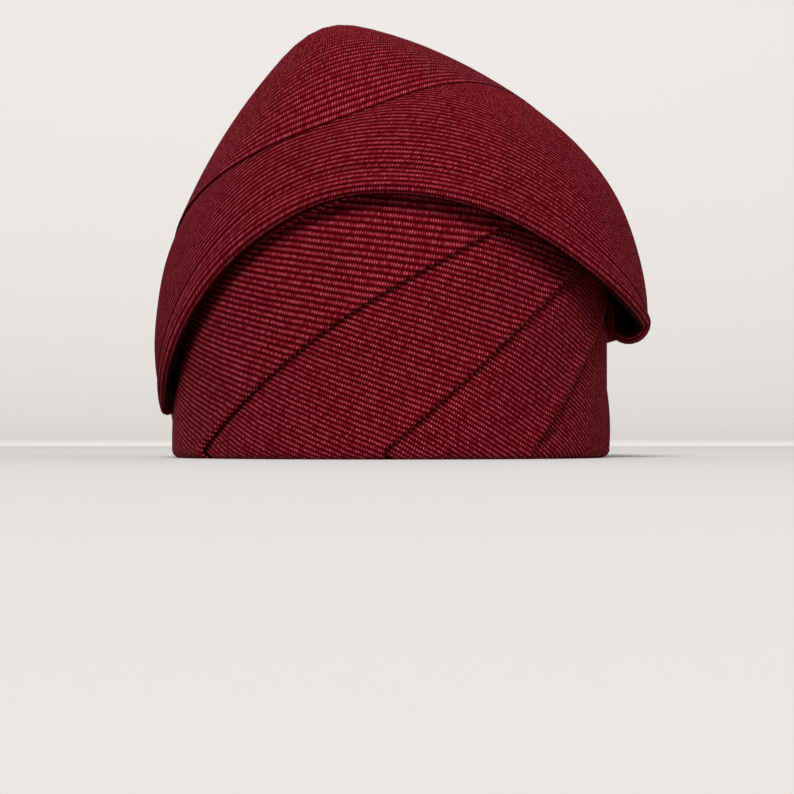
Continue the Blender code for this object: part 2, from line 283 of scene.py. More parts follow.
# Noise over the object: turns to a metre, and detail
RAGGED_NOISE = {"Scale": 1100.0, "Detail": 1.0}
DYE_NOISE = {"Scale": 30.0, "Detail": 3.0}
FUZZ_NOISE = {"Scale": 2600.0, "Detail": 2.0}
TOOTH_NOISE = {"Scale": 40.0, "Detail": 2.0}

# How much of the cloth's lightness each of these gives, and how much it is darkened
DYE_SHARE = 0.35        # broad patches of the dye
CHANCE_SHARE = 0.45     # each stitch on its own
FUZZ_SHARE = 0.5        # loose fibres
DARKENED = 0.15

PAPER_SHINE = 0.1
PAPER_ROUGHNESS = 0.86
PAPER_TOOTH = 0.08      # how much rougher its tooth makes it

# The paper behind and beneath the hat: its half width, its front edge, where it starts
# to bend up, the radius of the bend, its top and the points round the bend.
PAPER_HALF = 5.0
PAPER_FRONT = -4.0
PAPER_BACK = 2.6
PAPER_BEND = 1.2
PAPER_TOP = 5.0
PAPER_POINTS = 25

# Soft lights: where each one is, where it looks, and its width
HAT_MIDDLE = (0.0, 0.0, 0.08)
KEY_LIGHT = ((-1.0, -8.6, 7.2), HAT_MIDDLE, 3.5)
SIDE_LIGHT = ((1.7, -0.7, 0.8), HAT_MIDDLE, 1.0)
WALL_LIGHT = ((0.0, 0.9, 1.6), (0.0, 3.8, 1.6), 3.0)
SKY_COLOUR = (1.0, 0.985, 0.97, 1.0)

PICTURE_SHIFT = (0.00945, 0.0387)   # moves the picture over and up, in shares of its width
FARTHEST_SEEN = 30.0    # from the camera


def smooth(places, knots, values):
    """A soft curve through the knots: between two of them it is the cubic whose slope at
    each end is the mean slope of the neighbours."""
    places = np.clip(places, knots[0], knots[-1])
    slopes = np.gradient(values, knots, axis=0)
    row = np.clip(np.searchsorted(knots, places, side="right") - 1, 0, len(knots) - 2)
    width = knots[row + 1] - knots[row]
    t = (places - knots[row]) / width
    start = (2 * t**3 - 3 * t**2 + 1) * values[row] + (t**3 - 2 * t**2 + t) * width * slopes[row]
    end = (3 * t**2 - 2 * t**3) * values[row + 1] + (t**3 - t**2) * width * slopes[row + 1]
    return start + end


def ease(t):
    """0 to 1 with level ends: three times the square less twice the cube."""
    t = np.clip(t, 0.0, 1.0)
    return t * t * (3 - 2 * t)


def unit(vectors):
    """Each vector divided by its length."""
    return vectors / np.maximum(np.linalg.norm(vectors, axis=-1, keepdims=True), 1e-12)


def grid_normals(points):
    """Outward directions on a grid: the cross product of its steps along a row and across rows."""
    return unit(np.cross(np.gradient(points, axis=1), np.gradient(points, axis=0)))


def ridge(ribs):
    """Height of the cloth across its ribs, 0 in a furrow and 1 on a crest: one less the
    distance from the crest, as a share of half a rib, to the ribs' power."""
    return 1 - np.abs(2 * (ribs % 1.0) - 1) ** RIB_POWER


def last_inside(near, far, inside, halvings):
    """Where lines that begin inside a shape leave it: the stretch between a place inside
    and one outside is halved again and again, and the half with the crossing is kept."""
    for _ in range(halvings):
        middle = (near + far) / 2
        within = inside(middle)
        near, far = np.where(within, middle, near), np.where(within, far, middle)
    return near


# Band


def seam_angle(seam, way):
    """Angle round the hat of a band pleat's folded edge: its foot, plus its lean times the
    height, plus its bend times the square of the height above the bend's start. Below the
    hem it stays at its foot."""
    row = {name: column[seam % PLEATS] for name, column in SEAMS.items()}
    way = np.maximum(way, 0.0)
    bend = np.maximum(way - row["bend_from"], 0.0)
    return row["foot"] + 360.0 * (seam // PLEATS) + row["lean"] * way + row["bend"] * bend**2


def band_rim(angle):
    """Height of the band's hidden top edge: a side height plus a rise that goes with the
    square of the cosine of the angle from the front."""
    forward = np.cos(np.radians(angle))
    return RIM_SIDE + np.where(forward > 0, RIM_FRONT_RISE, RIM_BACK_RISE) * forward**2


def band_point(angle, way, rise, low):
    """Points on the band: an oval whose wall rounds the hem in two quarter turns with a
    flat between them, and leans in towards its top by the square of its height. way is
    the distance above the hem's turn, rise the height of the wall above the lowest ply,
    and low the same under the hem."""
    out, down = HEM_RADIUS - (STEP - rise), HEM_RADIUS - (STEP - low)
    quarter = HEM_RADIUS * np.pi / 2
    turn = np.clip(-way / HEM_RADIUS, 0.0, np.pi / 2)
    flat = np.clip(-way - quarter, 0.0, HEM_FLAT)
    back = np.clip((-way - quarter - HEM_FLAT) / HEM_RADIUS, 0.0, np.pi / 2)
    inner = np.clip(-way - 2 * quarter - HEM_FLAT, 0.0, None)
    inset = HEM_RADIUS - out * np.cos(turn) + flat + out * np.sin(back)
    height = HEM_RADIUS + np.maximum(way, 0.0) - down * np.sin(turn)
    height = height + down * (1 - np.cos(back)) + inner
    share = 1 - LEAN_SHARE * (np.maximum(height - LEAN_FROM, 0.0) / LEAN_SPAN) ** 2
    turn = np.radians(angle)
    x = (BAND_HALF_WIDTH - inset) * share * np.sin(turn)
    y = -(BAND_HALF_DEPTH - inset) * share * np.cos(turn)
    return np.stack([x, y, height], -1)


class PleatCut:
    """The flat shape of one band pleat: s is the distance round the band, way the one up it,
    and a rib is a line that falls towards the pleat's own fold."""

    def __init__(self, number):
        self.before, self.own = number - 1, number
        self.low, self.high = FALL["low"][number], FALL["high"][number]
        self.tuck = np.degrees(TUCK / BAND_MEAN)
        self.middle = (self.left(MIDDLE_WAY) + self.right(MIDDLE_WAY)) / 2

    def left(self, way):
        """The edge that is tucked under the fold before, as a distance round the band."""
        return BAND_MEAN * np.radians(seam_angle(self.before, way) - self.tuck)

    def right(self, way):
        """The pleat's own fold, as a distance round the band."""
        return BAND_MEAN * np.radians(seam_angle(self.own, way))

    def way(self, level, s):
        """A rib's line: its level less the tangent of its fall times the distance from the
        pleat's middle, with a faint ripple, a sum of sines."""
        share = np.clip(level / FALL_SPAN, *FALL_REACH)
        fall = np.radians(self.low + (self.high - self.low) * share)
        waves = zip(*RIPPLE.values())
        ripple = sum(height * np.sin(s / along + level / across) for height, along, across in waves)
        return level - np.tan(fall) * (s - self.middle) + ripple

    def inside(self, level, s):
        """How far a place on a rib's line is inside the cut, below zero outside it."""
        way = self.way(level, s)
        rim = band_rim(np.degrees(s / BAND_MEAN)) - HEM_RADIUS
        return np.minimum.reduce([s - self.left(way), self.right(way) - s, rim - way, way - INNER_END])

    def rows(self, spacing):
        """Levels of the rows that cross the cut, and where each begins and ends."""
        levels = np.arange(round(LOWEST_RIB / spacing), round(HIGHEST_RIB / spacing)) * spacing
        s = np.linspace(self.left(INNER_END), self.right(WIDEST_WAY), RIB_SAMPLES)
        depth = self.inside(levels[:, None], s[None, :])
        crossed = depth.max(1) > SHALLOWEST
        levels, start = levels[crossed], s[depth.argmax(1)][crossed]

        def within(place):
            return self.inside(levels, place) > 0

        first = last_inside(start, s[0], within, BAND_HALVINGS)
        return levels, first, last_inside(start, s[-1], within, BAND_HALVINGS)


def band_pleat(number, sizes):
    """Outer and inner grids of a band pleat. A row follows a rib from the tuck to the fold,
    round a half oval there and back inside. The wall swells towards the fold, and furrows
    are cut in by the rib profile."""
    cut = PleatCut(number)
    levels, first, last = cut.rows(sizes.rib_pitch / BAND_ROWS)
    level = levels[:, None]
    ribs = level / sizes.rib_pitch
    depth = sizes.rib_depth * (1 - ridge(ribs))
    nose = np.minimum(sizes.fold_nose, NOSE_SHARE * (last - first))[:, None]
    first, last = first[:, None], last[:, None] - nose
    lip = sizes.fold_lip

    def place(s, rise_from, carve):
        """Points at distances s round the band, raised from the wall and carved into it,
        with their weave coordinates."""
        way = cut.way(level, s)
        angle = np.degrees(s / BAND_MEAN)
        start, stop = seam_angle(cut.before, way), seam_angle(cut.own, way) - cut.tuck
        wall = STEP * ease((angle - start) / np.maximum(stop - start, NARROWEST) / RAMP_SHARE)
        hem = STEP * ease((s - BAND_MEAN * np.radians(start)) / sizes.hem_ramp)
        marks = np.stack([s * MARKS + 0 * level, ribs + 0 * s], -1)
        low = hem + np.minimum(rise_from, 0.0) - carve
        return band_point(angle, way, wall + rise_from - carve, low), marks

    along = np.linspace(0.0, 1.0, BAND_COLUMNS + 1)
    along = (1 - GATHERED) * along + GATHERED * np.sin(along * np.pi / 2)
    wall = first + (last - first) * along
    face, face_marks = place(wall, lip * ease(1 - (last - wall) / sizes.fold_width), depth)
    turn = np.linspace(0.0, np.pi, NOSE_COLUMNS + 1)[None, 1:-1]
    half = (CLOTH + lip) / 2
    round_fold = last + (nose - depth) * np.sin(turn)
    bend, bend_marks = place(round_fold, lip - half + (half - depth) * np.cos(turn), 0.0)
    inner_count = (BAND_COLUMNS + NOSE_COLUMNS - 1) // 2
    behind = first + (last - first) * np.linspace(0.0, 1.0, inner_count + 1)
    back, back_marks = place(behind, -CLOTH, 0.0)
    return (
        np.concatenate([face, bend], 1), back,
        np.concatenate([face_marks, bend_marks], 1), back_marks,
    )


# Crown


def crown_value(points):
    """Below 1 inside the crown: the sum of the shares of the reach across and along, each
    to the power of the squareness, with reaches that vary softly with height."""
    top = CROWN["height"][-1]
    depth = -np.sqrt(np.maximum(top - points[..., 2], 0.0))
    knots = -np.sqrt(top - CROWN["height"])
    reach = {name: smooth(depth, knots, column) for name, column in CROWN.items()}
    across = points[..., 0] - reach["middle_x"]
    along = points[..., 1] - reach["middle_y"]
    width = np.where(across < 0, reach["left"] + reach["middle_x"], reach["right"] - reach["middle_x"])
    length = np.where(along < 0, reach["front"] + reach["middle_y"], reach["back"] - reach["middle_y"])
    value = np.abs(across / np.maximum(width, NO_REACH)) ** SQUARENESS
    value += np.abs(along / np.maximum(length, NO_REACH)) ** SQUARENESS
    return np.where(points[..., 2] >= top, OUTSIDE, value)


def crown_hit(start, direction):
    """Where rays from inside the crown leave it."""

    def within(way):
        return crown_value(start + direction * way[..., None]) < 1

    way = last_inside(np.zeros(direction.shape[:-1]), FARTHEST, within, CROWN_HALVINGS)
    return start + direction * way[..., None]


def crown_normal(points):
    """Outward direction of the crown, from how its value changes."""
    change = [
        crown_value(points + PROBE * axis) - crown_value(points - PROBE * axis) for axis in np.eye(3)
    ]
    return unit(np.stack(change, -1))


def edge_point(angle):
    """Points where the drape's lower edge starts to turn under."""
    height = smooth(angle, EDGE["angle"], EDGE["height"])
    start = np.stack([0 * height, 0 * height, height], -1)
    turn = np.radians(angle)
    return crown_hit(start, np.stack([np.sin(turn), -np.cos(turn), 0 * turn], -1))


def arch_points(shares, ways):
    """Points along arches of the drape: rays fan from the middle of an arch's two feet, in a
    plane that leans back by an angle that varies softly from foot to foot."""
    row = {name: np.interp(shares, ARCHES["share"], column) for name, column in ARCHES.items()}
    left, right = edge_point(row["left_foot"]), edge_point(row["right_foot"])
    across = unit(left - right)
    forward = unit(np.cross([0.0, 0.0, 1.0], across))
    up = unit(np.cross(across, forward))
    leans = np.stack([row[f"lean_{place}"] for place in range(len(LEAN_PLACES))], -1)
    weights = np.stack([smooth(ways, LEAN_PLACES, bump) for bump in np.eye(len(LEAN_PLACES))])
    lean = np.radians(leans @ weights)[..., None]
    turn = np.pi * ways[None, :, None]
    rise = np.cos(lean) * forward[:, None] + np.sin(lean) * up[:, None]
    direction = np.cos(turn) * across[:, None] + np.sin(turn) * rise
    return crown_hit(((left + right) / 2)[:, None], direction)


def edge_roll(angle, sunk):
    """The lower edge's turn at each angle: half a circle under the edge, then the ply inside."""
    point = edge_point(angle)
    out = crown_normal(point)
    out[..., 2] = 0.0
    out = unit(out)[:, None]
    big = smooth(angle, EDGE["angle"], EDGE["radius"])[:, None, None]
    centre = point[:, None] - out * big
    radius = big - sunk[:, None, None]
    turn = np.linspace(0.0, np.pi, ROLL_COLUMNS + 1)[None, 1:, None]
    ring = centre + radius * (out * np.cos(turn) - np.array([0, 0, 1.0]) * np.sin(turn))
    return np.concatenate([ring, ring[:, -1:] + np.array([0, 0, EDGE_PLY])], 1)


def drape_places(columns):
    """Place along its arch of each column: below 0 and above 1 round the lower edge."""
    roll = np.ones(ROLL_COLUMNS + 1)
    return np.concatenate([UNDER_LEFT * roll, np.linspace(0.0, 1.0, columns + 1), UNDER_RIGHT * roll])


def drape_grid(shares, sunk, columns):
    """A grid over the drape, a row for each arch, with both feet rolled under. sunk holds
    how far each place of the grid lies in from the crown's face."""
    roll = ROLL_COLUMNS + 1
    body = arch_points(shares, np.linspace(0.0, 1.0, columns + 1))
    body = body - crown_normal(body) * sunk[:, roll:-roll, None]
    left = np.interp(shares, ARCHES["share"], ARCHES["left_foot"])
    right = np.interp(shares, ARCHES["share"], ARCHES["right_foot"])
    before, after = edge_roll(left, sunk[:, 0])[:, ::-1], edge_roll(right, sunk[:, -1])
    return np.concatenate([before, body, after], 1)


def even_rows(grid, normals, spacing, fold_row):
    """Rows at even distances from a grid's first row, measured down its columns, with their
    normals, their distances and how closely they follow each other, 1 where they lie at full
    spacing. Beyond the fold they are drawn together so that every row fits each column."""
    step = np.linalg.norm(np.diff(grid, axis=0), axis=-1)
    gone = np.concatenate([np.zeros((1, grid.shape[1])), np.cumsum(step, 0)])
    distance = np.arange(0.0, gone[-1].max() - spacing, spacing)
    fold, whole = gone[fold_row], gone[-1]
    past = np.maximum(distance[:, None] - fold, 0.0) / np.maximum(distance[-1] - fold, spacing)
    reach = np.minimum(distance[:, None], fold) + past * (whole - fold)
    lines = [np.interp(way, column, np.arange(len(column))) for way, column in zip(reach.T, gone.T)]
    row = np.stack(lines, -1)
    above = np.clip(row.astype(int), 0, len(grid) - 2)
    down, column = (row - above)[..., None], np.arange(grid.shape[1])

    def between(values):
        return values[above, column] * (1 - down) + values[above + 1, column] * down

    full = np.clip(np.gradient(reach, axis=0) / spacing, 0.0, 1.0)
    return between(grid), unit(between(normals)), distance, full


def front_roll(grid, places, spacing):
    """Rows that roll the front edge of a grid under: an arc of the roll's radius, then a
    straight ply. Their distances from the edge are the same share of the whole."""
    front = grid[0]
    along = unit(np.gradient(front, axis=0))
    away = front - grid[1]
    away = unit(away - (away * along).sum(-1, keepdims=True) * along)
    face = unit(np.cross(away, along))
    radius = smooth(places, FRONT_ROLL["place"], FRONT_ROLL["radius"])[:, None]
    full = np.radians(np.interp(places, FRONT_ROLL["place"], FRONT_ROLL["turn"]))[:, None]
    ply = np.maximum(FRONT_PLY * full / np.pi, LEAST_PLY)
    whole = radius * full + ply
    count = int(round(float(whole.max()) / spacing))
    gone = whole[None] * (np.arange(count, 0, -1) / count)[:, None, None]
    turn = np.minimum(gone / radius, full)
    past = np.maximum(gone - radius * full, 0.0)
    roll = front + away * (radius * np.sin(turn) + past * np.cos(full))
    return roll - face * (radius * (1 - np.cos(turn)) + past * np.sin(full))


def rib_rows(first, last, pitch, rows_per_rib):
    """Shares of the arches of evenly spaced rows, measured along the drape's middle."""
    shares = np.linspace(first, last, ARCH_SAMPLES)
    line = arch_points(shares, np.array([MIDDLE_PLACE]))[:, 0]
    gone = np.concatenate([[0.0], np.cumsum(np.linalg.norm(np.diff(line, axis=0), axis=-1))])
    count = int(gone[-1] / pitch * rows_per_rib)
    return np.interp(np.arange(count + 1) * pitch / rows_per_rib, gone, shares)


def hump(t):
    """A smooth bump of height 1 that ends at -1 and 1: the square of one less t squared."""
    return np.maximum(1 - t * t, 0.0) ** 2


def front_swell(distance, height):
    """How far the cloth stands out at a distance from the drape's front edge: a sum of bumps."""
    humps = zip(*SWELL.values())
    return sum(share * height * hump((distance - middle) / reach) for middle, reach, share in humps)


def ribbed(grid, normal, ribs, depth, thickness):
    """Outer and inner grids of a drape from its smooth face: furrows go in along the face's
    normal, and the inside lies one ply in."""
    step = np.linalg.norm(np.diff(grid, axis=1), axis=-1)
    gone = np.concatenate([np.zeros((len(grid), 1)), np.cumsum(step, 1)], 1)
    gone = gone - gone[:, gone.shape[1] // 2][:, None]
    marks = np.stack([gone * MARKS, np.broadcast_to(ribs[:, None], gone.shape)], -1)
    outer = grid - normal * (depth * (1 - ridge(ribs))[:, None])[..., None]
    inner = grid - normal * (thickness + 0 * depth)[..., None]
    return outer, inner[:, ::INNER_SKIP], marks, marks[:, ::INNER_SKIP]


def rounded_fold(grid, normal, thickness):
    """Rows that round off the first row of a sheet: half ovals that bring both of its faces
    to the middle of the ply."""
    along = unit(np.gradient(grid[0], axis=0))
    away = grid[0] - grid[2]
    away = unit(away - (away * along).sum(-1, keepdims=True) * along)
    turn = np.radians(FOLD_TURNS)[:, None, None]
    half = thickness[:, None] / 2
    middle = grid[0] - normal[0] * half
    out = away * FOLD_REACH * np.sin(turn)
    lift = normal[0] * half * np.cos(turn)
    return middle + out + lift, (middle + out - lift)[:, ::INNER_SKIP]


# Meshes


def closed_sheet(name, outer, inner, outer_marks, inner_marks, material):
    """A closed mesh from two grids with the same rows: both faces, a strip along each side,
    and at both ends fans that join each inner facet to the outer ones over it."""
    rows, wide = outer.shape[:2]
    narrow = inner.shape[1]
    out = np.arange(rows * wide).reshape(rows, wide)
    back = rows * wide + np.arange(rows * narrow).reshape(rows, narrow)

    def quads(a, b, c, d):
        return np.stack([a, b, c, d], -1).reshape(-1, 4)

    four = np.concatenate([
        quads(out[:-1, :-1], out[:-1, 1:], out[1:, 1:], out[1:, :-1]),
        quads(back[:-1, :-1], back[1:, :-1], back[1:, 1:], back[:-1, 1:]),
        quads(out[:-1, 0], out[1:, 0], back[1:, 0], back[:-1, 0]),
        quads(out[:-1, -1], back[:-1, -1], back[1:, -1], out[1:, -1]),
    ])
    over = np.arange(wide - 1)
    under = over * (narrow - 1) // (wide - 1)
    joint = np.arange(1, narrow) * (wide - 1) // (narrow - 1)

    def cap(row, flip):
        fans = np.stack([out[row, over + 1], out[row, over], back[row, under]], -1)
        ties = np.stack([back[row, 1:], out[row, joint], back[row, :-1]], -1)
        return np.concatenate([fans, ties])[:, ::flip]

    three = np.concatenate([cap(0, 1), cap(-1, -1)])
    points = np.concatenate([outer.reshape(-1, 3), inner.reshape(-1, 3)]) + OPENING_CENTRE
    marks = np.concatenate([outer_marks.reshape(-1, 2), inner_marks.reshape(-1, 2)])
    mesh = bpy.data.meshes.new(name)
    mesh.from_pydata(points.tolist(), [], four.tolist() + three.tolist())
    corners = np.empty(len(mesh.loops), np.int32)
    mesh.loops.foreach_get("vertex_index", corners)
    mesh.uv_layers.new(name=UV_NAME).data.foreach_set("uv", marks[corners].astype(np.float32).ravel())
    mesh.shade_smooth()
    mesh.materials.append(material)
    piece = bpy.data.objects.new(name, mesh)
    bpy.context.scene.collection.objects.link(piece)
    return piece


def dress(piece, node, grid):
    """The piece stands for a node of the model: it hangs from the root body, and the node's
    own part is hidden. The cross products of the grid's facet diagonals are worked out, but
    nothing uses them."""
    diagonals = np.cross(grid[1:, 1:] - grid[:-1, :-1], grid[1:, :-1] - grid[:-1, 1:])
    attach(piece, "root")
    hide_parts(node)


# Materials


class Wire:
    """An output in a material's node tree. Sums written on wires become Math nodes."""

    def __init__(self, tree, socket):
        self.tree, self.socket = tree, socket

    def node(self, kind, settings=None, inputs=None, output=0):
        """Adds a node: its settings first, then the numbers, colours or wires of its inputs."""
        made = self.tree.nodes.new(kind)
        for name, value in (settings or {}).items():
            setattr(made, name, value)
        for name, value in (inputs or {}).items():
            if isinstance(value, Wire):
                self.tree.links.new(value.socket, made.inputs[name])
            else:
                made.inputs[name].default_value = value
        return Wire(self.tree, made.outputs[output])

    def maths(self, operation, *values):
        """A Math node on wires and numbers."""
        return self.node("ShaderNodeMath", {"operation": operation}, dict(enumerate(values)))

    def __add__(self, other):
        return self.maths("ADD", self, other)

    __radd__ = __add__

    def __sub__(self, other):
        return self.maths("SUBTRACT", self, other)

    def __rsub__(self, other):
        return self.maths("SUBTRACT", other, self)

    def __mul__(self, other):
        return self.maths("MULTIPLY", self, other)

    __rmul__ = __mul__

    def __pow__(self, other):
        return self.maths("POWER", self, other)

    def __abs__(self):
        return self.maths("ABSOLUTE", self)

    def part(self):
        """What is left after the whole number."""
        return self.maths("FRACT", self)

    def whole(self):
        """The whole number, rounded down."""
        return self.maths("FLOOR", self)

    def blend(self, start, end):
        """A colour from start to end by this wire. The Mix node's sockets for colours share
        their names with others, so they go by number: 6 and 7 in, 2 out."""
        inputs = {"Factor": self, 6: start, 7: end}
        return self.node("ShaderNodeMix", {"data_type": "RGBA", "clamp_factor": True}, inputs, 2)


def principled(name, **sockets):
    """A material with one Principled shader, and a wire to build its nodes from."""
    material = bpy.data.materials.new(name)
    material.use_nodes = True
    shader = material.node_tree.nodes["Principled BSDF"]
    for socket, value in sockets.items():
        shader.inputs[socket.replace("_", " ")].default_value = value
    return material, shader, Wire(material.node_tree, None)


def link(shader, **wires):
    """Links wires to the shader's sockets, with _ for a space in a socket's name."""
    for socket, wire in wires.items():
        wire.tree.links.new(wire.socket, shader.inputs[socket.replace("_", " ")])


def ribbed_cloth(name, sizes, colours, turned=None):
    """Matt ribbed cloth: narrow ragged furrows darkened with painted shade, crests of slanting
    stitches whose dye varies from stitch to stitch with painted shade between them, and a pale
    fleck where a stitch catches the light. A crest or a stitch is one less the distance from
    its middle, as a share of its half, to the power of its flatness. Past the rib number
    turned, where the cloth rolls under, painted shade makes it as dark as a furrow."""
    material, shader, pen = principled(name, Specular_IOR_Level=CLOTH_SHINE, **CLOTH_SHEEN)

    def dye_in_piece_light(colour):
        """A colour times this cloth's factor of painted light and shade, with its alpha."""
        return [PIECE_LIGHT[name] * value for value in colour] + [1.0]

    weave = pen.node("ShaderNodeUVMap", {"uv_map": UV_NAME})
    along = pen.node("ShaderNodeSeparateXYZ", inputs={0: weave}, output="X")
    ribs = pen.node("ShaderNodeSeparateXYZ", inputs={0: weave}, output="Y")
    place = pen.node("ShaderNodeTexCoord", output="Object")
    ragged = pen.node("ShaderNodeTexNoise", inputs={"Vector": place, **RAGGED_NOISE})
    across = ribs + FURROW_WANDER * (ragged - 0.5)
    crest = 1 - abs(2 * across.part() - 1) ** RIB_FLATNESS
    shift = pen.node("ShaderNodeTexWhiteNoise", {"noise_dimensions": "1D"}, {"W": across.whole()})
    counted = along * (1 / MARKS / sizes.stitch_pitch)
    turns = counted + RIB_SHIFT * shift + across.part() * sizes.stitch_slant
    stitch = 1 - abs(2 * turns.part() - 1) ** STITCH_FLATNESS
    cell = pen.node("ShaderNodeCombineXYZ", inputs={0: turns.whole(), 1: across.whole()})
    chance = pen.node("ShaderNodeTexWhiteNoise", {"noise_dimensions": "2D"}, {"Vector": cell})
    dye = pen.node("ShaderNodeTexNoise", inputs={"Vector": place, **DYE_NOISE})
    fuzz = pen.node("ShaderNodeTexNoise", inputs={"Vector": place, **FUZZ_NOISE})
    light = DYE_SHARE * dye + CHANCE_SHARE * chance + FUZZ_SHARE * fuzz - DARKENED
    body = light.blend(dye_in_piece_light(colours.deep), dye_in_piece_light(colours.body))
    # Painted shade: the furrows between ribs and the gaps between stitches take the furrow colour
    painted_lightness = crest * (BETWEEN_STITCHES + (1 - BETWEEN_STITCHES) * stitch)
    furrow_shaded = painted_lightness.blend(dye_in_piece_light(colours.furrow), body)
    dot = (1 - abs(2 * across.part() - 2 * FLECK_PLACE)) * stitch
    fleck = dot ** FLECK_SMALLNESS * (FLECK_LEAST + FLECK_CHANCE * chance)
    colour = fleck.blend(furrow_shaded, dye_in_piece_light(colours.fleck))
    # Painted shade on the cloth rolled under the front edge, past the rib number turned
    if turned is not None:
        colour = (UNDER_SHADE_FADE * (turned - ribs)).blend(colour, dye_in_piece_light(colours.furrow))
    height = crest * stitch * (1 - UNEVEN + UNEVEN * chance) + FUZZ_HEIGHT * fuzz
    bump = {"Strength": BUMP_STRENGTH, "Distance": BUMP_HEIGHT, "Height": height}
    normal = pen.node("ShaderNodeBump", inputs=bump)
    roughness = CLOTH_ROUGHNESS - WORN_SMOOTH * crest * stitch
    link(shader, Base_Color=colour, Roughness=roughness, Normal=normal)
    return material


def matt_paper(name, colour):
    """Plain pale paper with a very faint tooth."""
    finish = {"Base_Color": (*colour, 1.0), "Specular_IOR_Level": PAPER_SHINE}
    material, shader, pen = principled(name, **finish)
    place = pen.node("ShaderNodeTexCoord", output="Object")
    tooth = pen.node("ShaderNodeTexNoise", inputs={"Vector": place, **TOOTH_NOISE})
    link(shader, Roughness=PAPER_ROUGHNESS + PAPER_TOOTH * tooth)
    return material


# Settings


class ToqueSizes(bpy.types.PropertyGroup):
    """Sizes of the cloth's ribs, stitches and folds."""

    rib_pitch: FloatProperty(
        name="Rib pitch", description="Distance from rib to rib on the band", default=0.00210,
        min=0.001, max=0.006, unit="LENGTH", precision=5,
    )
    rib_depth: FloatProperty(
        name="Rib depth", description="How deep the band's furrows are", default=0.00034,
        min=0.0, max=0.0006, unit="LENGTH", precision=5,
    )
    drape_pitch: FloatProperty(
        name="Drape rib pitch", description="Distance from rib to rib on the lower drape", default=0.00185,
        min=0.001, max=0.006, unit="LENGTH", precision=5,
    )
    drape_depth: FloatProperty(
        name="Drape rib depth", description="How deep the lower drape's furrows are", default=0.00028,
        min=0.0, max=0.0006, unit="LENGTH", precision=5,
    )
    peak_pitch: FloatProperty(
        name="Peak rib pitch", description="Distance from rib to rib over the middle of the peak",
        default=0.0030, min=0.001, max=0.006, unit="LENGTH", precision=5,
    )
    peak_depth: FloatProperty(
        name="Peak rib depth", description="How deep the peak's furrows are", default=0.00034,
        min=0.0, max=0.0006, unit="LENGTH", precision=5,
    )
    stitch_pitch: FloatProperty(
        name="Stitch pitch", description="Distance between stitches along a rib", default=0.00102,
        min=0.0005, max=0.004, unit="LENGTH", precision=5,
    )
    stitch_slant: FloatProperty(
        name="Stitch slant", description="Stitches that the slant moves on across a rib", default=-0.9,
    )
    fold_nose: FloatProperty(
        name="Fold length", description="Length over which a fold rounds off", default=0.0021,
        min=0.0005, max=0.004, unit="LENGTH", precision=5,
    )
    fold_lip: FloatProperty(
        name="Fold lip", description="How much a band pleat thickens at its fold", default=0.0013,
        min=0.0, max=0.003, unit="LENGTH", precision=5,
    )
    fold_width: FloatProperty(
        name="Fold width", description="Width over which a band pleat thickens", default=0.0050,
        min=0.001, max=0.02, unit="LENGTH", precision=5,
    )
    hem_ramp: FloatProperty(
        name="Hem ramp", description="Width over which the hem comes down level after a fold", default=0.0050,
        min=0.001, max=0.02, unit="LENGTH", precision=5,
    )
    roll_swell: FloatProperty(
        name="Roll swell", description="How far the drape's front edge swells", default=0.0014,
        min=0.0, max=0.003, unit="LENGTH", precision=5,
    )


class ToqueColours(bpy.types.PropertyGroup):
    """Colours of the cloth and the paper."""

    body: FloatVectorProperty(
        name="Body", description="Dye on the crests", subtype="COLOR",
        default=(0.235, 0.0014, 0.0110), min=0, max=1,
    )
    deep: FloatVectorProperty(
        name="Deep", description="Where the dye took darkest", subtype="COLOR",
        default=(0.115, 0.0001, 0.0032), min=0, max=1,
    )
    # Painted shade: colour of the furrows, of the gaps between stitches and of the cloth rolled under the
    # front edge
    furrow: FloatVectorProperty(
        name="Furrow", description="Between the ribs", subtype="COLOR",
        default=(0.012, 0.0, 0.0003), min=0, max=1,
    )
    fleck: FloatVectorProperty(
        name="Fleck", description="Where a stitch catches the light", subtype="COLOR",
        default=(0.72, 0.170, 0.210), min=0, max=1,
    )
    paper: FloatVectorProperty(
        name="Paper", description="Floor and backdrop", subtype="COLOR",
        default=(0.62, 0.601, 0.588), min=0, max=1,
    )


class ToqueStage(bpy.types.PropertyGroup):
    """Camera and lights."""

    camera_distance: FloatProperty(
        name="Camera distance", description="From the middle of the hat's opening",
        default=1.5, unit="LENGTH",
    )
    camera_height: FloatProperty(
        name="Camera height", description="Above the floor", default=0.012, min=0.001,
        unit="LENGTH", precision=4,
    )
    lens: FloatProperty(name="Lens", description="Focal length", default=168.7, unit="CAMERA")
    key_power: FloatProperty(
        name="Key light", description="Large front light", default=1520.0, unit="POWER",
    )
    side_power: FloatProperty(
        name="Side light", description="A weak light from the right", default=6.0, unit="POWER",
    )
    wall_power: FloatProperty(
        name="Wall light", description="On the backdrop", default=26.5, unit="POWER",
    )
    sky: FloatProperty(name="Sky", description="Strength of the light from all round", default=0.25)


# Operators


class TOQUE_OT_band(bpy.types.Operator):
    """Ribbed cloth for the band's eight pleats"""

    bl_idname = "toque.band"
    bl_label = "Band pleats"

    def execute(self, context):
        sizes, colours = context.scene.toque_sizes, context.scene.toque_colours
        cloth = ribbed_cloth("band_cloth", sizes, colours)
        for number in range(PLEATS):
            grids = band_pleat(number, sizes)
            piece = closed_sheet(f"ribbed_pleat_{number + 1}", *grids, cloth)
            dress(piece, f"band_pleat_{number + 1}", grids[1])
        return {"FINISHED"}


